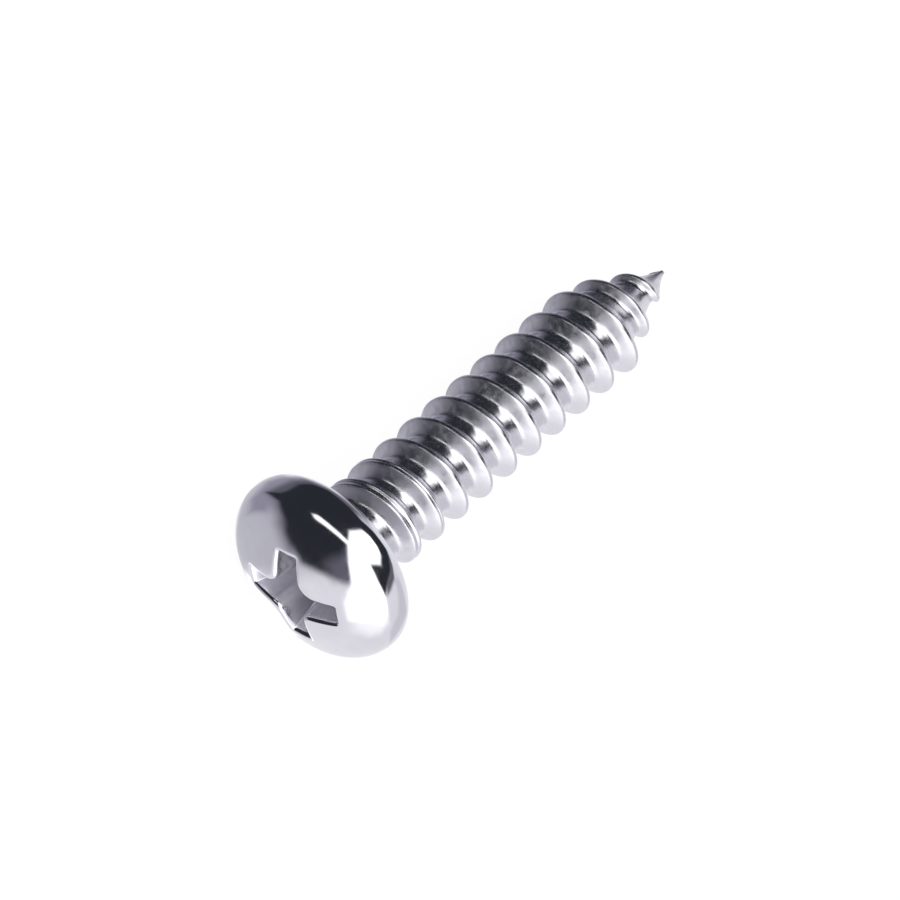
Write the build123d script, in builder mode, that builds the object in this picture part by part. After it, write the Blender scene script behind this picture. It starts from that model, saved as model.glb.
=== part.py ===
from build123d import *
import os
from math import asin, atan2, ceil, cos, degrees, hypot, pi, radians, sin, tan

# Sheet metal screw: tapping thread ST4.2 by 19, pan head with a No. 2 cross recess,
# pointed end. All sizes are in millimetres and angles in degrees.
#
# The screw is drawn on its own axis. The bearing face under the head is at z = 0, the
# tip points to +z and the head is on the -z side. At the end it is laid down as it comes
# to rest on a flat surface, on the rim of its head and on two crests of its thread.

# Thread. The crest crosses the x axis's side at crest_offset from the bearing face
thread_diameter = 4.1
core_diameter = 3.0
pitch = 1.4
flank_angle = 30.0
crest_flat = 0.1
crest_offset = 0.467

# Shank. Under the head the neck flares out a little past the thread
length = 18.7
point_length = 3.75
point_crest_diameter = 0.45
tip_diameter = 0.1
neck_flare = 0.07
neck_angle = 45.0

# Ends of the thread. Next to the head the crest isn't fully rolled, so it stays wide
neck_length = 0.55
start_rise = 1.25
open_crest_flat = 0.4
open_crest_length = 2.2
tip_length = 0.45
end_fade = 0.5

# Pan head
head_diameter = 7.85
head_height = 3.0
crown_radius = 6.3
rim_radius = 0.85

# Cross recess, measured where it cuts the crown. The punch struck it a little off centre
recess_diameter = 4.2
recess_depth = 2.4
wing_tip_width = 0.9
wing_root_width = 1.1
wing_corner_radius = 0.3
wing_side_draft = 5.75
wing_tip_draft = 26.5
recess_turn = 74.9
punch_offset = 0.2
punch_offset_direction = 158.0

# How far the thread's foot is set into the core, and the punch stands above the crown
foot_sink = 0.06
punch_clearance = 0.2

# How finely the thread is drawn: strips to a turn, and points along each strip's edges
strips_per_turn = 3
point_count = 5

# Sizes that follow from the ones above
thread_radius = thread_diameter / 2
core_radius = core_diameter / 2
head_radius = head_diameter / 2
tip_radius = tip_diameter / 2
neck_radius = thread_radius + neck_flare
neck_height = (neck_radius - core_radius) * tan(radians(neck_angle))
point_start = length - point_length
thread_end = length - tip_length

# The rim is a quarter circle between the bearing face and the head's widest place. The
# shoulder's arc goes on from there and touches the crown, and that settles its radius
crown_centre = crown_radius - head_height
widest = crown_centre + rim_radius
shoulder_radius = (crown_radius**2 - head_radius**2 - widest**2) / (crown_radius - head_radius) / 2
crown_end = degrees(atan2(-widest, head_radius - shoulder_radius))


def crown_sag(radius):
    """How far the crown has dropped below its top at a radius."""
    return crown_radius - (crown_radius**2 - radius**2) ** 0.5


def share(value, start, end):
    """How far value is on the way from start to end, held between 0 and 1."""
    return min(max((value - start) / (end - start), 0.0), 1.0)


def core_radius_at(z):
    """Radius of the core, which narrows along the point."""
    return core_radius + (tip_radius - core_radius) * share(z, point_start, length)


def crest_radius_at(z):
    """Radius of the thread's crest, which rises out of the core and sinks back into it."""
    full = thread_radius
    full += (point_crest_diameter / 2 - thread_radius) * share(z, point_start, length)
    rise = sin(pi / 2 * share(z, neck_length, neck_length + start_rise))
    fade = sin(pi / 2 * share(z, thread_end, thread_end - end_fade))
    buried = core_radius_at(z) * (1 - foot_sink / core_radius / 2)
    return buried + (full - buried) * rise * fade


def crest_flat_at(z):
    """Width of the crest, wide until the thread is fully rolled."""
    closed_from = neck_length + start_rise
    closed = share(z, closed_from, closed_from + open_crest_length)
    return open_crest_flat + (crest_flat - open_crest_flat) * closed


# Corners of the thread's section in order: on the crest or not, and on which side
ridge_corners = ((False, -1), (True, -1), (True, 1), (False, 1))


def ridge_point(z, on_crest, side):
    """Where one corner of the thread's section is when its middle is at height z."""
    angle = 2 * pi * (z - crest_offset) / pitch
    crest = crest_radius_at(z)
    foot = core_radius_at(z) * (1 - foot_sink / core_radius)
    radius = crest if on_crest else foot
    half_width = crest_flat_at(z) / 2 + (crest - radius) * tan(radians(flank_angle))
    return Vector(radius * cos(angle), radius * sin(angle), z + side * half_width)


def ridge_edge(start, end, on_crest, side):
    """The helical edge that one corner draws between two heights."""
    nudge = pitch / 10000
    heights = [start + (end - start) * i / (point_count - 1) for i in range(point_count)]
    points = [ridge_point(z, on_crest, side) for z in heights]
    tangents = [
        (ridge_point(z + nudge, on_crest, side) - ridge_point(z - nudge, on_crest, side)).normalized()
        for z in (start, end)
    ]
    return Edge.make_spline(points, tangents=tangents)


def ridge_cap(z):
    """The flat face that closes the ridge at one of its ends."""
    corners = [ridge_point(z, on_crest, side) for on_crest, side in ridge_corners]
    return Face(Wire.make_polygon(corners, close=True))


# Blank: head, neck, core and point, as one turned section
with BuildPart() as blank:
    with BuildSketch(Plane.XZ) as half_section:
        with BuildLine():
            crown = CenterArc((0, crown_centre), crown_radius, -90, crown_end + 90)
            shoulder_centre = (head_radius - shoulder_radius, -rim_radius)
            shoulder = CenterArc(shoulder_centre, shoulder_radius, crown_end, -crown_end)
            rim = CenterArc((head_radius - rim_radius, -rim_radius), rim_radius, 0, 90)
            bearing_face = Line(rim @ 1, (neck_radius, 0))
            neck = Line(bearing_face @ 1, (core_radius, neck_height))
            core = Line(neck @ 1, (core_radius, point_start))
            cone = Line(core @ 1, (tip_radius, length))
            Polyline(cone @ 1, (0, length), crown @ 0)
        make_face()
    revolve(axis=Axis.Z)

# Thread: one helical ridge, skinned strip by strip between its four edges
strips = ceil((thread_end - neck_length) / pitch * strips_per_turn)
strip_height = (thread_end - neck_length) / strips
ridge_faces = [ridge_cap(neck_length), ridge_cap(thread_end)]
for strip in range(strips):
    start = neck_length + strip_height * strip
    edges = [ridge_edge(start, start + strip_height, *corner) for corner in ridge_corners]
    for edge, next_edge in zip(edges, edges[1:] + edges[:1]):
        ridge_faces.append(Face.make_surface_from_curves(edge, next_edge))
ridge = Solid(Shell(ridge_faces))

# Recess: four drafted wings, lofted from above the crown to the recess floor
with BuildPart() as recess:
    for depth in (-punch_clearance, recess_depth):
        below_rim = depth - crown_sag(recess_diameter / 2)
        reach = recess_diameter / 2 - below_rim * tan(radians(wing_tip_draft))
        narrowing = below_rim * tan(radians(wing_side_draft))
        tip_half = wing_tip_width / 2 - narrowing
        root_half = wing_root_width / 2 - narrowing
        with BuildSketch(Plane.XY.offset(depth - head_height)) as cross:
            with PolarLocations(0, 4, start_angle=recess_turn):
                Polygon((0, -root_half), (reach, -tip_half), (reach, tip_half), (0, root_half), align=None)
            fillet(cross.vertices().sort_by_distance((0, 0))[:4], wing_corner_radius)
    loft(ruled=True)

with BuildPart() as upright:
    add(blank.part)
    add(ridge)
    with Locations(Vector(punch_offset, 0, 0).rotate(Axis.Z, punch_offset_direction)):
        add(recess.part, mode=Mode.SUBTRACT)


def tilt_on_crest(z):
    """How far the axis leans when the screw lies on its rim and on the crest at height z."""
    along = z + crest_flat_at(z) / 2 + rim_radius
    drop = head_radius - rim_radius - crest_radius_at(z)
    return atan2(drop, along) + asin(rim_radius / hypot(along, drop))


# Lying at rest: the screw rolls until its middle is as low as it gets. Then two crests
# carry the shank, the last full one and the first one on the point
low, high = point_start - pitch, point_start
while high - low > pitch / 10000:
    support = (low + high) / 2
    if tilt_on_crest(support) > tilt_on_crest(support + pitch):
        low = support
    else:
        high = support
tilt = tilt_on_crest(support)
turn = 180 - (support - crest_offset) / pitch % 1 * 360
seat_height = rim_radius + (head_radius - rim_radius) * cos(tilt) - rim_radius * sin(tilt)
lying = Plane(
    origin=(0, 0, seat_height),
    x_dir=(sin(tilt), 0, cos(tilt)),
    z_dir=(cos(tilt), 0, -sin(tilt)),
)
turned = upright.part.rotate(Axis.Z, turn)
middle = turned.moved(lying.location).bounding_box().center()
with BuildPart() as screw:
    with Locations(Location((-middle.X, 0, 0)) * lying.location):
        add(turned)

os.makedirs("parts", exist_ok=True)
screw.part.label = "screw"
export_step(screw.part, "parts/screw.step")
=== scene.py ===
import logging
import math
from dataclasses import dataclass, field
from enum import Enum

import bpy
import numpy as np
from mathutils import Matrix, Vector


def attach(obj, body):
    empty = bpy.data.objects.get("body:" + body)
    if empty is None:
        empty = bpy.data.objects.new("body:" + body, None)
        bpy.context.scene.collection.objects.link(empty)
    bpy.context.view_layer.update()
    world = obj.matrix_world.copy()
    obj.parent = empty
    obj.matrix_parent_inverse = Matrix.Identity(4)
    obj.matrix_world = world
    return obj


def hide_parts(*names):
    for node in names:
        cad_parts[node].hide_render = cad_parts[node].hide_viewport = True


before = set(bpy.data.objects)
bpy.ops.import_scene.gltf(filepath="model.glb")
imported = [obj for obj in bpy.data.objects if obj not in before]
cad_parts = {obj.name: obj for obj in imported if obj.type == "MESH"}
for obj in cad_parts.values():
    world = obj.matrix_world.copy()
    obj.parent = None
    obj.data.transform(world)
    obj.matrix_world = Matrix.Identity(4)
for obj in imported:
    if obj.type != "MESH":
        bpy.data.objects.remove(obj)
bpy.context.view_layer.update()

logging.basicConfig(level=logging.INFO, format="%(message)s")
log = logging.getLogger("sheet_metal_screw")

# Sizes are written in millimetres and angles in degrees. The scene itself is in metres
MM = 0.001


def to_linear(hex_colour: str) -> tuple[float, float, float, float]:
    """Turns a written colour into the linear one that a shader takes.

    Args:
        hex_colour: An sRGB colour, such as "#C8C6D0".

    Returns:
        Red, green, blue and an alpha of 1, all linear.
    """
    parts = [int(hex_colour[i:i + 2], 16) / 255 for i in (1, 3, 5)]
    linear = [p / 12.92 if p <= 0.04045 else ((p + 0.055) / 1.055) ** 2.4 for p in parts]
    return (linear[0], linear[1], linear[2], 1.0)


def new_material(name: str) -> bpy.types.Material:
    """Adds a material with an empty node tree.

    Args:
        name: The material's name.

    Returns:
        The material.
    """
    material = bpy.data.materials.new(name)
    material.use_nodes = True
    material.node_tree.nodes.clear()
    return material


def add_node(tree: bpy.types.NodeTree, kind: str, settings: dict | None = None,
             inputs: dict | None = None) -> bpy.types.Node:
    """Adds one node with its settings, input values and links.

    Args:
        tree: The node tree that gets the node.
        kind: The node's type name.
        settings: Properties of the node by name.
        inputs: Input sockets by name or number, each a value or an output socket to link.

    Returns:
        The new node.
    """
    node = tree.nodes.new(kind)
    for name, value in (settings or {}).items():
        setattr(node, name, value)
    for name, value in (inputs or {}).items():
        if isinstance(value, bpy.types.NodeSocket):
            tree.links.new(value, node.inputs[name])
        else:
            node.inputs[name].default_value = value
    return node


def smooth_step(value: np.ndarray | float, start: float, end: float) -> np.ndarray:
    """Rises smoothly from 0 at start to 1 at end.

    Args:
        value: Where to look.
        start: Where the rise begins.
        end: Where it ends.

    Returns:
        The share of the rise at each value.
    """
    share = np.clip((np.asarray(value, float) - start) / (end - start), 0.0, 1.0)
    return share * share * (3.0 - 2.0 * share)


def arc(centre: tuple[float, float], radius: float, start: float, end: float,
        count: int) -> list[tuple[float, float]]:
    """Points along an arc in a plane.

    Args:
        centre: The arc's centre.
        radius: The arc's radius.
        start: The angle where it begins, in degrees.
        end: The angle where it ends.
        count: How many points it gets, both ends included.

    Returns:
        The points in order.
    """
    angles = np.radians(np.linspace(start, end, count))
    return [(centre[0] + radius * math.cos(a), centre[1] + radius * math.sin(a)) for a in angles]


def deselect_all() -> None:
    """Leaves edit mode and deselects every object."""
    if bpy.context.object and bpy.context.object.mode != "OBJECT":
        bpy.ops.object.mode_set(mode="OBJECT")
    bpy.ops.object.select_all(action="DESELECT")


def make_active(piece: bpy.types.Object) -> None:
    """Selects one object and makes it the active one.

    Args:
        piece: The object.
    """
    deselect_all()
    piece.select_set(True)
    bpy.context.view_layer.objects.active = piece


def wrap_grid(name: str, points: np.ndarray, weld: float) -> bpy.types.Object:
    """Wraps a plane grid into a tube, so that its rows lie on the given points.

    Args:
        name: The piece's name.
        points: Places by row, then along the row, in millimetres.
        weld: How near two vertices are when they become one.

    Returns:
        The tube, with its seam and its poles welded.
    """
    rows, columns = points.shape[:2]
    deselect_all()
    bpy.ops.mesh.primitive_grid_add(x_subdivisions=columns - 1, y_subdivisions=rows - 1, size=1)
    piece = bpy.context.object
    piece.name = name
    piece.data.name = name
    piece.data.vertices.foreach_set("co", points.reshape(-1).astype(np.float32))
    piece.data.update()
    bpy.ops.object.mode_set(mode="EDIT")
    bpy.ops.mesh.select_all(action="SELECT")
    bpy.ops.mesh.remove_doubles(threshold=weld)
    bpy.ops.mesh.select_all(action="DESELECT")
    bpy.ops.object.mode_set(mode="OBJECT")
    return piece


def report(piece: bpy.types.Object) -> None:
    """Logs a piece's mesh, and how many of its edges don't have a face on both sides.

    Args:
        piece: The finished piece.
    """
    mesh = piece.data
    sides = np.empty(len(mesh.loops), np.int32)
    mesh.loops.foreach_get("edge_index", sides)
    open_edges = int(np.sum(np.bincount(sides, minlength=len(mesh.edges)) != 2))
    log.info("%s: %d vertices, %d faces, %d open edges", piece.name, len(mesh.vertices),
             len(mesh.polygons), open_edges)


@dataclass(frozen=True)
class Lie:
    """How the screw lies, as the CAD lays it: from its own frame to the row frame.

    The screw's own frame has the bearing face at z = 0, the tip towards +z and x towards
    the side that is up when the screw lies.
    """

    # How far the axis leans down towards the tip, and how far the screw has rolled about it
    tilt: float = 7.238829
    turn: float = -38.17705

    # Where the middle of the bearing face comes to lie
    seat_x: float = -7.768889
    seat_height: float = 3.793386

    def matrix(self) -> Matrix:
        """The way from the screw's own frame to the row frame.

        Returns:
            A matrix with both frames in millimetres.
        """
        tilt = math.radians(self.tilt)
        up_side = Vector((math.sin(tilt), 0.0, math.cos(tilt)))
        along = Vector((math.cos(tilt), 0.0, -math.sin(tilt)))
        across = along.cross(up_side)
        axes = Matrix((up_side, across, along)).transposed().to_4x4()
        seat = Matrix.Translation((self.seat_x, 0.0, self.seat_height))
        return seat @ axes @ Matrix.Rotation(math.radians(self.turn), 4, "Z")

    def place(self, piece: bpy.types.Object) -> None:
        """Lays a piece drawn in the screw's own frame, in millimetres, in the row frame."""
        piece.data.transform(Matrix.Scale(MM, 4) @ self.matrix())
        piece.data.update()


@dataclass
class CrossRecess:
    """The cross that the punch leaves in the crown: four drafted wings about one middle."""

    # Sizes at rim_depth below the crown's top, where the cross cuts the crown
    diameter: float = 4.2
    tip_width: float = 0.9
    root_width: float = 1.1
    rim_depth: float = 0.359

    # How deep the cross goes, and how it narrows on the way
    depth: float = 2.4
    side_draft: float = 5.75
    tip_draft: float = 26.5

    # Where the punch struck: the first wing's direction, and how far off centre it was
    turn: float = 74.9
    offset: float = 0.2
    offset_direction: float = 158.0

    # Rounding of the wings' ends, and of the corner between each wing and the next. The
    # corners differ, as the metal flowed past the punch unevenly
    tip_rounding: float = 0.07
    corner_radii: tuple[float, ...] = (0.35, 0.55, 0.5, 0.8)

    # How many steps each stretch of the outline is drawn in
    tip_steps: int = 4
    rounding_steps: int = 4
    side_steps: int = 10
    corner_steps: int = 6

    def half_wing(self, depth: float, radius: float) -> np.ndarray:
        """Half a wing's outline from the middle of its tip to the next wing.

        Args:
            depth: Depth below the crown's top.
            radius: How far the corner between the two wings is rounded.

        Returns:
            Points with the wing along x, up to the line where the next wing's half begins.
        """
        below = depth - self.rim_depth
        reach = self.diameter / 2 - below * math.tan(math.radians(self.tip_draft))
        narrowing = below * math.tan(math.radians(self.side_draft))
        tip_half = self.tip_width / 2 - narrowing
        root_half = self.root_width / 2 - narrowing
        slope = (tip_half - root_half) / reach
        side_angle = math.atan(slope)

        # The tip, and the rounding that leads from it to the side
        straight = tip_half - self.tip_rounding
        points = [(reach, y) for y in np.linspace(0, straight, self.tip_steps + 1)]
        points += arc((reach - self.tip_rounding, straight), self.tip_rounding, 0, 90,
                      self.rounding_steps + 1)[1:]

        # The side, up to where the corner's rounding takes over
        meet = root_half / (1 - slope)
        half_angle = math.radians(45) - side_angle
        tangent = radius / math.tan(half_angle)
        side_start = points[-1]
        side_end = (meet + tangent * math.cos(side_angle), meet + tangent * math.sin(side_angle))
        for share in np.linspace(0, 1, self.side_steps + 1)[1:]:
            points.append(tuple(a + (b - a) * share for a, b in zip(side_start, side_end)))

        # Half of the corner
        distance = radius / math.sin(half_angle)
        centre = (meet + distance * math.sqrt(0.5), meet + distance * math.sqrt(0.5))
        start = math.degrees(math.atan2(side_end[1] - centre[1], side_end[0] - centre[0]))
        points += arc(centre, radius, start % 360, 225, self.corner_steps + 1)[1:]
        return np.array(points)

    def outline(self, depth: float) -> np.ndarray:
        """The whole cross at one depth, about the head's axis.

        Args:
            depth: Depth below the crown's top.

        Returns:
            A closed loop of points, the last one not the first again.
        """
        halves = [self.half_wing(depth, radius) for radius in self.corner_radii]
        loops = []
        for quarter, half in enumerate(halves):
            mirrored = halves[quarter - 1][::-1] * (1, -1)
            wing = np.vstack([mirrored[:-1], half])[:-1]
            angle = math.radians(self.turn + 90 * quarter)
            turn = np.array(((math.cos(angle), math.sin(angle)),
                             (-math.sin(angle), math.cos(angle))))
            loops.append(wing @ turn)
        direction = math.radians(self.offset_direction)
        shift = np.array((math.cos(direction), math.sin(direction))) * self.offset
        return np.vstack(loops) + shift


@dataclass
class PanHead:
    """The pan head, with its recess and the neck under it, as a stack of loops."""

    # Sizes of the head. The shoulder's arc follows from them
    diameter: float = 7.85
    height: float = 3.0
    crown_radius: float = 6.3
    rim_radius: float = 0.85

    # The neck under the head, and the fillet that leads into it
    neck_radius: float = 1.5
    neck_fillet: float = 0.45

    # How wide the punch leaves the recess's edge soft, and where the loops round the
    # recess have become circles
    rim_break: float = 0.17
    blend_radius: float = 2.75

    # How many rows each stretch is drawn in
    wall_rows: int = 12
    blend_rows: int = 9
    crown_rows: int = 6
    shoulder_rows: int = 15
    rim_rows: int = 15
    seat_rows: int = 5
    fillet_rows: int = 8

    # Where the rows lie: over the recess's floor and its edge as shares of the way, and
    # up the wall and out to the circles as powers of it
    floor_shares: tuple[float, ...] = (0.0, 0.2, 0.4, 0.6, 0.8, 0.93)
    edge_shares: tuple[float, ...] = (0.2, 0.4, 0.6, 0.8)
    wall_power: float = 0.8
    blend_power: float = 1.3

    # How often the line where the recess cuts the crown is drawn nearer, until it is exact
    cut_rounds: int = 8
    weld: float = 1e-5
    recess: CrossRecess = field(default_factory=CrossRecess)

    def crown_height(self, radius: np.ndarray) -> np.ndarray:
        """Height of the crown's surface at a radius."""
        return self.crown_radius - self.height - np.sqrt(self.crown_radius ** 2 - radius ** 2)

    def on_crown(self, flat: np.ndarray) -> np.ndarray:
        """Lifts points of the plane onto the crown."""
        return np.column_stack([flat, self.crown_height(np.hypot(flat[:, 0], flat[:, 1]))])

    def recess_wall(self, depths: np.ndarray) -> np.ndarray:
        """A loop on the recess's wall.

        Args:
            depths: Depth of each of the loop's points below the crown's top.

        Returns:
            The points.
        """
        top, bottom = self.recess.outline(0.0), self.recess.outline(self.recess.depth)
        share = (depths / self.recess.depth)[:, None]
        return np.column_stack([top + (bottom - top) * share, depths - self.height])

    def recess_loops(self) -> list[np.ndarray]:
        """The recess from the middle of its floor to its soft edge on the crown.

        Returns:
            Loops of points, the first one all at the floor's middle.
        """
        deepest = self.recess.depth
        depths = np.full(len(self.recess.outline(0.0)), self.recess.rim_depth)
        floor = self.recess_wall(np.full(len(depths), deepest))
        for _ in range(self.cut_rounds):
            cut = self.recess_wall(depths)
            depths = self.crown_height(np.hypot(cut[:, 0], cut[:, 1])) + self.height

        # The floor and the wall, up to where the soft edge begins
        middle = floor.mean(axis=0)
        loops = [middle + (floor - middle) * share for share in self.floor_shares]
        edge = depths + self.rim_break
        for share in np.linspace(0, 1, self.wall_rows + 1):
            loops.append(self.recess_wall(deepest + (edge - deepest) * share ** self.wall_power))

        # The soft edge, rounded between the wall and the crown
        inner, corner = loops[-1], self.recess_wall(depths)
        rim = corner[:, :2]
        along = np.roll(rim, -1, axis=0) - np.roll(rim, 1, axis=0)
        outward = np.column_stack([along[:, 1], -along[:, 0]])
        outward = outward / np.hypot(along[:, 0], along[:, 1])[:, None]
        outer = self.on_crown(rim + outward * self.rim_break)
        for share in self.edge_shares:
            loops.append(inner * (1 - share) ** 2 + corner * 2 * share * (1 - share)
                         + outer * share ** 2)
        return loops + [outer]

    def section(self) -> list[tuple[float, float]]:
        """The head's section from the crown over the rim and the bearing face to the neck.

        Returns:
            Points as radius from the axis and height.
        """
        head_radius = self.diameter / 2
        crown_centre = self.crown_radius - self.height
        widest = crown_centre + self.rim_radius
        shoulder_radius = self.crown_radius ** 2 - head_radius ** 2 - widest ** 2
        shoulder_radius = shoulder_radius / (self.crown_radius - head_radius) / 2
        crown_start = -math.degrees(math.acos(self.blend_radius / self.crown_radius))
        crown_end = math.degrees(math.atan2(-widest, head_radius - shoulder_radius))
        fillet_end = self.neck_radius + self.neck_fillet
        seat_end = head_radius - self.rim_radius
        section = arc((0.0, crown_centre), self.crown_radius, crown_start, crown_end,
                      self.crown_rows + 1)[1:]
        section += arc((head_radius - shoulder_radius, -self.rim_radius), shoulder_radius,
                       crown_end, 0, self.shoulder_rows + 1)[1:]
        section += arc((seat_end, -self.rim_radius), self.rim_radius, 0, 90,
                       self.rim_rows + 1)[1:]
        section += [(r, 0.0) for r in np.linspace(seat_end, fillet_end, self.seat_rows + 1)[1:]]
        section += arc((fillet_end, self.neck_fillet), self.neck_fillet, 270, 180,
                       self.fillet_rows + 1)[1:]
        return section

    def loops(self) -> np.ndarray:
        """The whole head, from the recess's floor over the crown and rim to the neck.

        Returns:
            Places by loop, then along the loop.
        """
        loops = self.recess_loops()
        start = loops[-1][:, :2]
        angles = np.arctan2(start[:, 1], start[:, 0])
        circle = np.column_stack([np.cos(angles), np.sin(angles)])
        for share in np.linspace(0, 1, self.blend_rows + 1)[1:]:
            eased = share ** self.blend_power
            flat = start * (1 - eased) + circle * self.blend_radius * eased
            loops.append(self.on_crown(flat))
        for radius, height in self.section():
            loops.append(np.column_stack([circle * radius, np.full(len(circle), height)]))
        return np.array(loops)

    def build(self) -> bpy.types.Object:
        """Builds the head.

        Returns:
            The head, closed but for the neck's end.
        """
        loops = self.loops()
        closed = np.concatenate([loops, loops[:, :1]], axis=1)
        return wrap_grid("screw_head", closed, self.weld)


@dataclass
class ThreadedShank:
    """The core, the point and the rolled thread, drawn in rows that follow the helix."""

    # Thread. The crest crosses the x axis's side at crest_offset from the bearing face
    thread_diameter: float = 4.1
    core_diameter: float = 3.0
    pitch: float = 1.4
    flank_angle: float = 30.0
    crest_flat: float = 0.16
    crest_offset: float = 0.467

    # Shank and point
    start: float = 0.45
    length: float = 18.7
    point_length: float = 3.75
    point_crest_diameter: float = 0.45
    tip_diameter: float = 0.1

    # How the ridge rises next to the head: it comes out of the core between the two
    # distances of come_out past its start, and has its full height after start_rise
    thread_start: float = 0.55
    start_rise: float = 1.25
    come_out: tuple[float, float] = (0.05, 0.25)

    # Next to the head the dies don't close the crest: it stays wide, with a groove between
    # two lips. The groove is full where the ridge is as high as groove_full
    open_crest_flat: float = 0.4
    open_crest_length: float = 2.2
    groove_depth: float = 0.09
    groove_full: float = 0.4

    # How the ridge runs out at the tip, and how the last turn is filled out to it
    tip_length: float = 0.1
    end_fade: float = 0.6
    pinch: float = 1.3
    pinch_start: float = 1.9
    pinch_full: float = 1.1

    # Rounding of the crest's edges and of the root, and how much of the crest's half width
    # and of the flank each may take
    crest_rounding: float = 0.1
    root_rounding: float = 0.28
    crest_share: float = 0.9
    flank_shares: tuple[float, float] = (0.4, 0.55)

    # Where the section's points lie, as shares of the crest's half, of the roundings and
    # of the straight flank between them
    crest_steps: tuple[float, ...] = (0.0, 0.3, 0.55, 0.75, 1.0)
    edge_steps: tuple[float, ...] = (0.33, 0.67, 1.0)
    flank_steps: tuple[float, ...] = (0.33, 0.67)
    root_steps: tuple[float, ...] = (0.0, 0.2, 0.4, 0.6, 0.8, 1.0)

    # Rows to a turn, and turns drawn past both ends, which are then cut off
    steps_per_turn: int = 144
    spare_turns: float = 2.5
    weld: float = 2e-4

    def along_point(self, z: np.ndarray) -> np.ndarray:
        """How far along the point a height is, from 0 at its start to 1 at the tip."""
        return np.clip((z - self.length + self.point_length) / self.point_length, 0, 1)

    def core_radius(self, z: np.ndarray) -> np.ndarray:
        """Radius of the core at a height, which narrows along the point."""
        narrowing = (self.tip_diameter - self.core_diameter) / 2
        return self.core_diameter / 2 + narrowing * self.along_point(z)

    def ridge_height(self, z: np.ndarray) -> np.ndarray:
        """How far the crest stands out of the core.

        Args:
            z: Heights along the screw.

        Returns:
            The crest's height above the core at each of them.
        """
        full = self.thread_diameter / 2
        full = full + (self.point_crest_diameter - self.thread_diameter) / 2 * self.along_point(z)
        rise = np.sin(np.pi / 2 * np.clip((z - self.thread_start) / self.start_rise, 0, 1))
        end = self.length - self.tip_length
        fade = np.sin(np.pi / 2 * np.clip((end - z) / self.end_fade, 0, 1)) ** 2
        out_from, out_to = (self.thread_start + distance for distance in self.come_out)
        fade = fade * smooth_step(z, out_from, out_to)
        return np.maximum(full - self.core_radius(z), 0) * rise * fade

    def openness(self, z: np.ndarray) -> np.ndarray:
        """How open the crest is at a height: 1 next to the head and 0 where it has closed."""
        closed_from = self.thread_start + self.start_rise
        return 1 - np.clip((z - closed_from) / self.open_crest_length, 0, 1)

    def section(self, z: float) -> list[tuple[float, float]]:
        """One pitch of the thread's section, with its crest at a height.

        Args:
            z: Height of the crest's middle.

        Returns:
            Points as height from the crest's middle and height above the core.
        """
        height = float(self.ridge_height(z))
        open_share = float(self.openness(z))
        widening = (self.open_crest_flat - self.crest_flat) * open_share
        crest_half = (self.crest_flat + widening) / 2
        foot_half = crest_half + height * math.tan(math.radians(self.flank_angle))

        # The roundings, and how far each reaches along the crest, the flank and the core
        turning = math.radians(90 - self.flank_angle)
        half_turn = math.tan(turning / 2)
        flank = height / math.cos(math.radians(self.flank_angle))
        crest_take, root_take = self.flank_shares
        crest_round = min(self.crest_rounding, crest_half / half_turn * self.crest_share,
                          flank / half_turn * crest_take)
        root_round = min(self.root_rounding, flank / half_turn * root_take)
        crest_edge = crest_half - crest_round * half_turn
        root_edge = foot_half + root_round * half_turn

        # The crest, with its groove where it is open, and its rounded edge
        groove = self.groove_depth * open_share * min(height / self.groove_full, 1.0)
        half = []
        for share in self.crest_steps:
            dip = groove * (math.cos(math.pi * share) + 1) / 2
            half.append((crest_edge * share, height - dip))
        for share in self.edge_steps:
            angle = turning * share
            half.append((crest_edge + crest_round * math.sin(angle),
                         height - crest_round * (1 - math.cos(angle))))

        # The flank, the rounded root and the bare core up to the next turn
        root = []
        for share in self.root_steps:
            angle = turning * (1 - share)
            root.append((root_edge - root_round * math.sin(angle),
                         root_round * (1 - math.cos(angle))))
        top, bottom = half[-1], root[0]
        for share in self.flank_steps:
            half.append(tuple(a + (b - a) * share for a, b in zip(top, bottom)))
        half += root
        half.append(((root_edge + self.pitch / 2) / 2, 0.0))
        half.append((self.pitch / 2, 0.0))
        return [(-along, out) for along, out in reversed(half[1:])] + half

    def pinched(self, z: float, heights: np.ndarray, radii: np.ndarray) -> np.ndarray:
        """Fills the last turn out to the tip, where the dies pinch off the point.

        Args:
            z: Height of the crest's middle.
            heights: Heights of the section's points.
            radii: Their radii before the filling.

        Returns:
            Their radii after it.
        """
        bases = np.where(heights >= z, z, z - self.pitch)
        share = np.clip((self.length - heights) / np.maximum(self.length - bases, 1e-6), 0, 1)
        tip = self.tip_diameter / 2
        crests = self.core_radius(bases) + self.ridge_height(bases)
        filled = tip + (crests - tip) * share ** self.pinch
        weight = smooth_step(bases, self.length - self.pinch_start, self.length - self.pinch_full)
        return np.maximum(radii, radii + (filled - radii) * weight * (bases < self.length))

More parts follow.
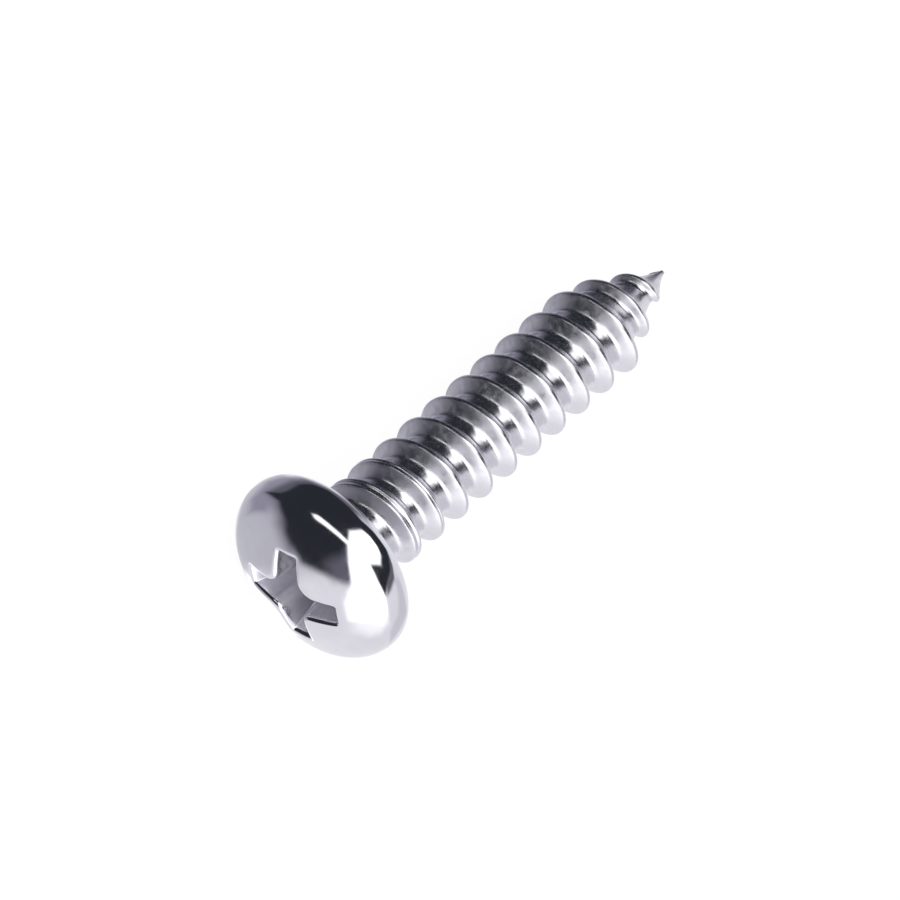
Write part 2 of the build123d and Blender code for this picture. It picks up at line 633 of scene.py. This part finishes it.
    def build(self) -> bpy.types.Object:
        """Builds the shank, and cuts it off at both ends.

        Returns:
            The shank, open at the neck and closed at the tip.
        """
        turns = (self.length - self.start) / self.pitch + self.spare_turns
        first = self.start - self.pitch
        rows = []
        for station in range(int(turns * self.steps_per_turn) + 1):
            z = first + self.pitch * station / self.steps_per_turn
            angle = 2 * math.pi * (z - self.crest_offset) / self.pitch
            section = np.array(self.section(z))
            heights = z + section[:, 0]
            radii = self.pinched(z, heights, self.core_radius(heights) + section[:, 1])
            rows.append(np.column_stack([radii * math.cos(angle), radii * math.sin(angle),
                                         heights]))
        piece = wrap_grid("screw_shank", np.array(rows), self.weld)
        make_active(piece)
        bpy.ops.object.mode_set(mode="EDIT")
        bpy.ops.mesh.select_all(action="SELECT")
        bpy.ops.mesh.bisect(plane_co=(0, 0, self.start), plane_no=(0, 0, 1), clear_inner=True)
        bpy.ops.mesh.select_all(action="SELECT")
        bpy.ops.mesh.bisect(plane_co=(0, 0, self.length), plane_no=(0, 0, 1), clear_outer=True,
                            use_fill=True)
        bpy.ops.object.mode_set(mode="OBJECT")
        return piece


@dataclass(frozen=True)
class PlatedSteel:
    """Bright zinc plate over cold-formed steel: a mirror that is slightly soft, with fine
    grain and light handling marks. How soft it is depends on the tool that formed the place:
    the heading die leaves the crown brightest, and the rolling dies drag along the flanks."""

    # Zinc reflects a little blue. The shade lies in faint clouds. The flanks are darker, partly
    # from duller plating and partly as painted shade in the grooves between the turns
    colour: str = "#E3E2E8"
    shade: str = "#D2D1D8"
    flank_dull_and_shade: str = "#D7D6DC"

    # Roughness by how the place was formed, and how far the marks lower and raise it
    crown: float = 0.09
    punched: float = 0.5
    rolled: float = 0.23
    flank: float = 0.38
    marks_between: tuple[float, float] = (0.35, 0.75)
    roughness_between: tuple[float, float] = (0.75, 1.4)

    # Sizes of the clouds and of the handling marks. Real plating has grain of a few
    # thousandths of a millimetre, which is drawn ten times as coarse so that it shows
    cloud_size: float = 1.0
    mark_size: float = 0.25
    grain_size: float = 0.04

    # How deep the marks are, how much of that shows, and the grain's share of it
    mark_depth: float = 0.004
    relief: float = 0.09
    grain_share: float = 0.06

    def build(self) -> bpy.types.Material:
        """Makes the plated steel's material.

        Returns:
            The material, which reads its softness from the mesh, and the flanks' darker colour,
            partly duller plating and partly painted shade between the turns.
        """
        material = new_material("bright_zinc_plated_steel")
        tree = material.node_tree
        place = add_node(tree, "ShaderNodeTexCoord").outputs["Object"]
        cloud = add_node(tree, "ShaderNodeTexNoise", inputs={
            "Vector": place, "Scale": 1 / (self.cloud_size * MM), "Detail": 3.0})
        marks = add_node(tree, "ShaderNodeTexNoise", inputs={
            "Vector": place, "Scale": 1 / (self.mark_size * MM), "Detail": 3.0})
        grain = add_node(tree, "ShaderNodeTexNoise", inputs={
            "Vector": place, "Scale": 1 / (self.grain_size * MM), "Detail": 2.0})
        tint = add_node(tree, "ShaderNodeMix", {"data_type": "RGBA"}, {
            0: cloud.outputs[0], 6: to_linear(self.colour), 7: to_linear(self.shade)})
        flank_dulling_and_shade = add_node(tree, "ShaderNodeAttribute", {"attribute_name": "flank_dulling_and_shade"})
        # Darker colour on the flanks: partly duller plating, partly painted shade between the
        # turns
        plate = add_node(tree, "ShaderNodeMix", {"data_type": "RGBA"}, {
            0: flank_dulling_and_shade.outputs["Fac"], 6: tint.outputs[2], 7: to_linear(self.flank_dull_and_shade)})
        softness = add_node(tree, "ShaderNodeAttribute", {"attribute_name": "softness"})
        uneven = add_node(tree, "ShaderNodeMapRange", inputs={
            "Value": marks.outputs[0],
            "From Min": self.marks_between[0], "From Max": self.marks_between[1],
            "To Min": self.roughness_between[0], "To Max": self.roughness_between[1]})
        rough = add_node(tree, "ShaderNodeMath", {"operation": "MULTIPLY"}, {
            0: softness.outputs["Fac"], 1: uneven.outputs[0]})
        relief = add_node(tree, "ShaderNodeMath", {"operation": "MULTIPLY_ADD"}, {
            0: grain.outputs[0], 1: self.grain_share, 2: marks.outputs[0]})
        bump = add_node(tree, "ShaderNodeBump", inputs={
            "Height": relief.outputs[0], "Strength": self.relief,
            "Distance": self.mark_depth * MM})
        steel = add_node(tree, "ShaderNodeBsdfPrincipled", inputs={
            "Base Color": plate.outputs[2], "Metallic": 1.0, "Roughness": rough.outputs[0],
            "Normal": bump.outputs[0]})
        add_node(tree, "ShaderNodeOutputMaterial", inputs={"Surface": steel.outputs[0]})
        return material


@dataclass
class Screw:
    """The whole screw, one closed piece: head and shank joined at the neck."""

    lie: Lie = field(default_factory=Lie)
    head: PanHead = field(default_factory=PanHead)
    shank: ThreadedShank = field(default_factory=ThreadedShank)
    finish: PlatedSteel = field(default_factory=PlatedSteel)

    # Where the finishes meet: at the recess's edge, in widths of that edge below the crown,
    # between core and flank, by how far the surface faces along the axis, and under the
    # head, as heights from the bearing face. The flanks' darker colour, partly painted shade
    # between the turns, starts at the same steps
    edge_meets: tuple[float, float] = (0.3, 2.5)
    flank_meets: tuple[float, float] = (0.3, 0.8)
    neck_meets: tuple[float, float] = (0.0, 0.2)

    def join(self, head: bpy.types.Object, shank: bpy.types.Object) -> bpy.types.Object:
        """Joins head and shank, and closes the gap between their open ends.

        Args:
            head: The head, open at the neck's end.
            shank: The shank, open at the neck.

        Returns:
            The two as one closed piece.
        """
        make_active(shank)
        head.select_set(True)
        bpy.context.view_layer.objects.active = head
        bpy.ops.object.join()
        head.name = "threaded_screw"
        head.data.name = "threaded_screw"
        bpy.ops.object.mode_set(mode="EDIT")
        bpy.ops.mesh.select_mode(type="EDGE")
        bpy.ops.mesh.select_all(action="DESELECT")
        bpy.ops.mesh.select_non_manifold(
            extend=False, use_wire=False, use_boundary=True, use_multi_face=False,
            use_non_contiguous=False, use_verts=False)
        bpy.ops.mesh.bridge_edge_loops()
        bpy.ops.mesh.select_mode(type="VERT")
        bpy.ops.mesh.select_all(action="SELECT")
        bpy.ops.mesh.normals_make_consistent(inside=False)
        bpy.ops.mesh.select_all(action="DESELECT")
        bpy.ops.object.mode_set(mode="OBJECT")
        bpy.ops.object.shade_smooth()
        return head

    def dress(self, piece: bpy.types.Object) -> None:
        """Plates the screw, tells the plating how soft it is at each place, and darkens the
        flanks, partly as duller plating and partly as painted shade between the turns.

        Args:
            piece: The screw in its own frame, in millimetres.
        """
        mesh, head, finish = piece.data, self.head, self.finish
        mesh.materials.clear()
        mesh.materials.append(finish.build())
        places, ways = (np.empty(len(mesh.vertices) * 3, np.float32) for _ in range(2))
        mesh.vertices.foreach_get("co", places)
        mesh.vertices.foreach_get("normal", ways)
        places, ways = places.reshape(-1, 3), ways.reshape(-1, 3)
        radii = np.minimum(np.hypot(places[:, 0], places[:, 1]), head.blend_radius)
        below = places[:, 2] - head.crown_height(radii)
        sunk = smooth_step(below, *(share * head.rim_break for share in self.edge_meets))
        sunk = sunk * (radii < head.blend_radius)
        flank = smooth_step(np.abs(ways[:, 2]), *self.flank_meets)
        under_head = smooth_step(places[:, 2], *self.neck_meets)
        headed = finish.crown + (finish.punched - finish.crown) * sunk
        rolled = finish.rolled + (finish.flank - finish.rolled) * flank
        # The flanks under the head are darkened: partly duller plating, partly painted shade in
        # the grooves between the turns
        looks = {"softness": headed * (1 - under_head) + rolled * under_head,
                 "flank_dulling_and_shade": flank * under_head}
        for name, values in looks.items():
            mesh.attributes.new(name, "FLOAT", "POINT").data.foreach_set("value", values)

    def build(self) -> bpy.types.Object:
        """Builds, joins, dresses and lays the screw.

        Returns:
            The screw in the place of the CAD's.
        """
        piece = self.join(self.head.build(), self.shank.build())
        self.dress(piece)
        self.lie.place(piece)
        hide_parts("screw")
        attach(piece, "root")
        return piece


class Cloth(Enum):
    """What the light tent's panels are made of, with the colour and strength each glows in."""

    BLACK = ("#2E3137", 1.0)
    SOOT = ("#66646F", 1.0)
    CHARCOAL = ("#6C6A76", 1.0)
    GREY = ("#A09EAC", 1.0)
    LAVENDER = ("#D0D0D7", 1.0)
    PEARL = ("#E0E0E6", 1.0)
    PALE = ("#FAF9FC", 1.0)
    GLOW = ("#FFFFFF", 1.35)
    SOFTBOX = ("#FFFFFF", 1.9)

    def light(self) -> np.ndarray:
        """The light that the cloth gives, linear."""
        colour, strength = self.value
        return np.array(to_linear(colour)[:3]) * strength


@dataclass(frozen=True)
class Panel:
    """A panel of the light tent: straight seams between corners, and a soft edge.

    Each corner is an azimuth about the way to the camera, from the right round to the top,
    and the angle away from the way to the camera. The edge's softness is an angle too.
    """

    cloth: Cloth
    softness: float
    corners: tuple[tuple[float, float], ...]

    def cover(self, places: np.ndarray) -> np.ndarray:
        """How much the panel covers at each place.

        Args:
            places: Places on the tent, laid flat about the way to the camera, in degrees.

        Returns:
            0 outside the panel and 1 inside, with a soft step over its edge.
        """
        azimuths, angles = np.array(self.corners, float).T
        turns = np.radians(azimuths)
        flat = np.column_stack((angles * np.cos(turns), angles * np.sin(turns)))
        inside = np.zeros(len(places), bool)
        nearest = np.full(len(places), np.inf)
        for a, b in zip(flat, np.roll(flat, -1, axis=0)):
            along = b - a
            share = np.clip((places - a) @ along / (along @ along), 0, 1)
            gaps = np.linalg.norm(places - a - share[:, None] * along, axis=1)
            nearest = np.minimum(nearest, gaps)
            crosses = (a[1] > places[:, 1]) != (b[1] > places[:, 1])
            if along[1]:
                seam = a[0] + (places[:, 1] - a[1]) / along[1] * along[0]
                inside ^= crosses & (places[:, 0] < seam)
        signed = np.where(inside, nearest, -nearest)
        return smooth_step(signed, -self.softness, self.softness)


@dataclass
class LightTent:
    """A round tent of cloth panels about the screw, which is what its plating mirrors."""

    radius: float = 1500.0
    rings: int = 180
    segments: int = 360
    base: Cloth = Cloth.PALE
    panels: tuple[Panel, ...] = (
        # Pale and mid grey cloth to the left, above and behind, for the head's left side
        # and the upper flanks
        Panel(Cloth.LAVENDER, 12.0, (
            (100, 175), (150, 175), (205, 175), (214, 100), (222, 72), (190, 60), (150, 80),
            (120, 100))),
        Panel(Cloth.GREY, 14.0, (
            (183, 100), (180, 125), (160, 135), (130, 142), (90, 150), (55, 150), (40, 120),
            (60, 80), (120, 80), (150, 85))),
        # Nearly white cloth at the lower right and the lower left behind
        Panel(Cloth.PEARL, 8.0, (
            (-12, 84), (-20, 96), (-40, 110), (-60, 120), (-60, 150), (-20, 150), (0, 110))),
        Panel(Cloth.PALE, 8.0, ((208, 128), (204, 150), (212, 168), (234, 160), (236, 130))),
        # A small lamp behind, for the glint in the recess
        Panel(Cloth.SOFTBOX, 5.0, ((210, 150), (206, 164), (214, 174), (230, 170), (232, 152))),
        # The fading lower edge of the big lamp below
        Panel(Cloth.GLOW, 9.0, (
            (-40, 60), (-60, 104), (-76, 108), (-95, 108), (252, 106), (244, 80))),
        # Black cloth above and round the camera, with a fading upper edge. It draws the dark
        # shape on the crown and the dark bands between the turns
        Panel(Cloth.SOOT, 10.0, (
            (200, 60), (206, 90), (190, 92), (175, 90), (158, 94), (147, 116), (132, 112),
            (110, 118), (92, 130), (70, 134), (50, 120), (60, 70), (120, 60))),
        Panel(Cloth.BLACK, 4.0, (
            (0, 0), (241, 67), (228, 73), (213, 84), (196, 86), (180, 82), (165, 84), (156, 88),
            (147, 116), (140, 96), (128, 94), (110, 104), (90, 116), (75, 120), (62, 106),
            (47, 94), (36, 108), (22, 114), (10, 98), (-8, 80), (-28, 70), (-48, 71), (-46, 50),
            (-30, 33))),
        # Lighter patches in the black cloth, at its lower left and its lower right
        Panel(Cloth.CHARCOAL, 7.0, ((241, 16), (241, 67), (231, 72), (221, 68), (225, 44))),
        Panel(Cloth.CHARCOAL, 3.0, (
            (22, 112), (8, 101), (-10, 88), (-28, 78), (-44, 74), (-26, 68), (-8, 78),
            (10, 94))),
        # The lamps: one to the right, a narrow strip up to the left and the big one below
        Panel(Cloth.SOFTBOX, 3.0, (
            (0, 0), (60, 28), (42, 58), (32, 68), (20, 70), (10, 66), (-7, 56), (-29, 33))),
        Panel(Cloth.SOFTBOX, 3.0, ((56, 4), (138, 42), (146, 47), (155, 43), (236, 4))),
        Panel(Cloth.SOFTBOX, 3.0, (
            (60, 3), (-28, 34), (-43, 50), (-48, 72), (-58, 92), (-70, 100), (248, 98),
            (243, 84), (241, 66))),
    )

    def light(self, places: np.ndarray) -> np.ndarray:
        """The light from each place of the tent.

        Args:
            places: Places on the tent, laid flat about the way to the camera, in degrees.

        Returns:
            Linear red, green and blue for each place.
        """
        light = np.tile(self.base.light(), (len(places), 1))
        for panel in self.panels:
            cover = panel.cover(places)[:, None]
            light = light * (1 - cover) + panel.cloth.light() * cover
        return light

    def material(self) -> bpy.types.Material:
        """Makes the cloth's material: thin cloth lit from outside, which glows evenly.

        Returns:
            The material, which reads its light from the mesh.
        """
        material = new_material("lit_tent_cloth")
        material.cycles.emission_sampling = "NONE"
        tree = material.node_tree
        light = add_node(tree, "ShaderNodeAttribute", {"attribute_name": "tent_light"})
        glow = add_node(tree, "ShaderNodeEmission", inputs={"Color": light.outputs["Color"]})
        add_node(tree, "ShaderNodeOutputMaterial", inputs={"Surface": glow.outputs[0]})
        return material

    def build(self, pose: Matrix) -> bpy.types.Object:
        """Puts the tent up.

        Args:
            pose: The camera's pose in metres, whose axes the panels are hung about.

        Returns:
            The tent. Only the screw's reflections see it, so it hides and shades nothing.
        """
        deselect_all()
        bpy.ops.mesh.primitive_uv_sphere_add(segments=self.segments, ring_count=self.rings,
                                             radius=self.radius * MM)
        tent = bpy.context.object
        tent.name = "light_tent"
        ways = np.empty(len(tent.data.vertices) * 3, np.float32)
        tent.data.vertices.foreach_get("co", ways)
        ways = ways.reshape(-1, 3) / (self.radius * MM)
        seen = ways @ np.array(pose.to_3x3())
        angle = np.degrees(np.arccos(np.clip(seen[:, 2], -1, 1)))
        across = np.hypot(seen[:, 0], seen[:, 1]) + 1e-9
        light = self.light(seen[:, :2] / across[:, None] * angle[:, None])
        colours = tent.data.color_attributes.new("tent_light", "FLOAT_COLOR", "POINT")
        colours.data.foreach_set("color", np.column_stack([light, np.ones(len(light))]).ravel())
        bpy.ops.object.shade_smooth()
        tent.data.materials.append(self.material())
        tent.visible_camera = False
        tent.visible_diffuse = False
        tent.visible_shadow = False
        tent.visible_volume_scatter = False
        return tent


@dataclass
class Studio:
    """The pale floor, the light and the camera, which aren't part of the screw."""

    # How the camera sees the screw: how far the axis leans towards it at the head's end,
    # which side faces it, and how steeply the axis rises across the picture
    lean: float = 30.2138
    facing: float = 24.0991
    slope: float = 40.8035

    # Where the camera looks, in the screw's own frame, and from how far
    aim: tuple[float, float, float] = (-0.3455, -0.3324, 6.7846)
    distance: float = 700.0

    # The lens, as its length in pixels of a picture frame_pixels wide
    focal_pixels: float = 18608.0
    frame_pixels: float = 900.0
    sensor: float = 36.0
    clip: tuple[float, float] = (10.0, 10000.0)

    # White card on the floor. The camera sees most of its white as glow and the rest as a
    # surface that takes the screw's shadow
    floor_size: float = 4000.0
    floor_colour: str = "#F0F0F0"
    floor_glow: float = 0.9
    floor_shade: float = 0.15
    world_strength: float = 1.0
    tent: LightTent = field(default_factory=LightTent)

    def camera_axes(self) -> tuple[Vector, Vector, Vector]:
        """The camera's right, up and back, in the screw's own frame.

        Returns:
            Three unit vectors.
        """
        lean, facing, slope = (math.radians(a) for a in (self.lean, self.facing, self.slope))
        back = Vector((math.cos(lean) * math.cos(facing), math.cos(lean) * math.sin(facing),
                       -math.sin(lean)))
        along = (Vector((0.0, 0.0, 1.0)) + back * math.sin(lean)) / math.cos(lean)
        across = back.cross(along)
        right = along * math.cos(slope) - across * math.sin(slope)
        up = along * math.sin(slope) + across * math.cos(slope)
        return right, up, back

    def camera(self, lie: Lie) -> bpy.types.Object:
        """Sets up the camera at the photograph's angle.

        Args:
            lie: How the screw lies. The camera keeps its place about the screw.

        Returns:
            The camera.
        """
        right, up, back = self.camera_axes()
        pose = Matrix((right, up, back)).transposed().to_4x4()
        pose.translation = Vector(self.aim) + back * self.distance
        pose = lie.matrix() @ pose
        pose.translation = pose.translation * MM
        data = bpy.data.cameras.new("camera")
        data.sensor_width = self.sensor
        data.lens = self.focal_pixels / self.frame_pixels * self.sensor
        data.clip_start, data.clip_end = (distance * MM for distance in self.clip)
        camera = bpy.data.objects.new("camera", data)
        camera.matrix_world = pose
        bpy.context.scene.collection.objects.link(camera)
        bpy.context.scene.camera = camera
        return camera

    def floor_material(self) -> bpy.types.Material:
        """Makes the floor's material: matt white card, plain white to the eye.

        Returns:
            The material. To the camera, and in gloss and glass, it is white with the
            screw's shadow on it. To all other light it is pale card.
        """
        material = new_material("white_floor")
        tree = material.node_tree
        rays = add_node(tree, "ShaderNodeLightPath").outputs
        seen = add_node(tree, "ShaderNodeMath", {"operation": "MAXIMUM"}, {
            0: rays["Is Camera Ray"], 1: rays["Is Glossy Ray"]})
        seen = add_node(tree, "ShaderNodeMath", {"operation": "MAXIMUM"}, {
            0: seen.outputs[0], 1: rays["Is Transmission Ray"]})
        card = add_node(tree, "ShaderNodeBsdfDiffuse", inputs={
            "Color": to_linear(self.floor_colour)})
        shade = add_node(tree, "ShaderNodeBsdfDiffuse", inputs={
            "Color": (self.floor_shade,) * 3 + (1,)})
        glow = add_node(tree, "ShaderNodeEmission", inputs={"Strength": self.floor_glow})
        lit = add_node(tree, "ShaderNodeAddShader", inputs={
            0: shade.outputs[0], 1: glow.outputs[0]})
        mix = add_node(tree, "ShaderNodeMixShader", inputs={
            0: seen.outputs[0], 1: card.outputs[0], 2: lit.outputs[0]})
        add_node(tree, "ShaderNodeOutputMaterial", inputs={"Surface": mix.outputs[0]})
        return material

    def floor(self) -> bpy.types.Object:
        """Lays the plain white floor.

        Returns:
            The floor. It keeps the screw's shadow, faint under so much soft light.
        """
        deselect_all()
        bpy.ops.mesh.primitive_plane_add(size=self.floor_size * MM, location=(0, 0, 0))
        floor = bpy.context.object
        floor.name = "floor"
        floor.data.materials.append(self.floor_material())
        floor.visible_glossy = False
        return floor

    def world(self) -> bpy.types.World:
        """Sets soft white light all round.

        Returns:
            The world.
        """
        world = bpy.data.worlds.new("studio")
        bpy.context.scene.world = world
        world.use_nodes = True
        tree = world.node_tree
        tree.nodes.clear()
        sky = add_node(tree, "ShaderNodeBackground", inputs={
            "Color": (1, 1, 1, 1), "Strength": self.world_strength})
        add_node(tree, "ShaderNodeOutputWorld", inputs={"Surface": sky.outputs[0]})
        return world

    def build(self, lie: Lie) -> None:
        """Sets the floor, the world's light, the camera and the tent about the screw.

        Args:
            lie: How the screw lies.
        """
        report(self.floor())
        world = self.world()
        log.info("%s: white light at strength %.1f", world.name, self.world_strength)
        camera = self.camera(lie)
        log.info("%s: lens %.0f mm", camera.name, camera.data.lens)
        report(self.tent.build(camera.matrix_world))


def main() -> None:
    """Builds the screw and its studio in order, and reports each piece."""
    screw = Screw()
    report(screw.build())
    Studio().build(screw.lie)
    bpy.context.scene.view_settings.view_transform = "Standard"


if __name__ == "__main__":
    main()
